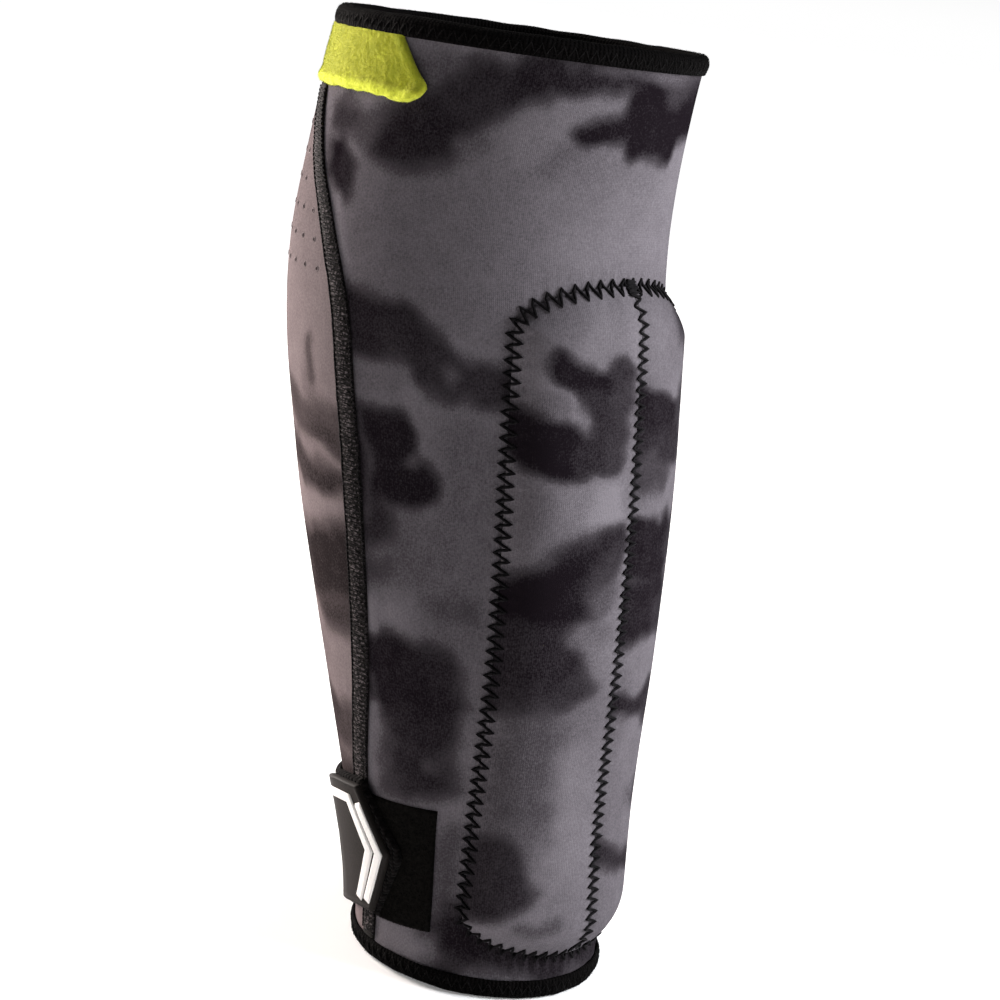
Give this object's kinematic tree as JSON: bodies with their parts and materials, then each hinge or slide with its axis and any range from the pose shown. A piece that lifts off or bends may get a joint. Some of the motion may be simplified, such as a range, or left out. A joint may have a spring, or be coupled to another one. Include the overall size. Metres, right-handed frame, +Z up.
{
  "type": "shin compression sleeve",
  "caption": "Contoured neoprene compression sleeve for the lower leg, with a raised stitched shin pad, bound hems, a pull tab at the calf and an ankle strap that closes on a loop patch.",
  "frame": {"origin": "centre of the ankle opening, level with the ankle hem's lower edge", "axes": "+Z up the leg from the ankle hem to the calf hem, -Y the front of the shin, -X the wearer's right, where the pull tab and the strap's badge are"},
  "size_m": [0.1217, 0.148, 0.3],
  "materials": {
    "neoprene": "matt knit-faced neoprene with a soft grey camouflage print",
    "pad_cover": "matt knit-faced neoprene over foam, same print",
    "seam_thread": "black coverstitch thread",
    "binding_tape": "black knit tape, slightly fuzzy",
    "tab_felt": "lime felt, brighter along its lower edge",
    "loop_pile": "black brushed loop pile",
    "strap_webbing": "black elastic webbing",
    "badge_rubber": "satin moulded rubber with raised white stripes"
  },
  "bodies": {
    "root": {"front_panel": "neoprene", "back_panel": "neoprene", "side_seam_right": "seam_thread", "side_seam_left": "seam_thread", "shin_pad_right": "pad_cover", "shin_pad_left": "pad_cover", "top_binding": "binding_tape", "bottom_binding": "binding_tape", "pull_tab": "tab_felt", "loop_patch": "loop_pile", "ankle_strap": "strap_webbing", "strap_badge": "badge_rubber"}
  },
  "joints": []
}
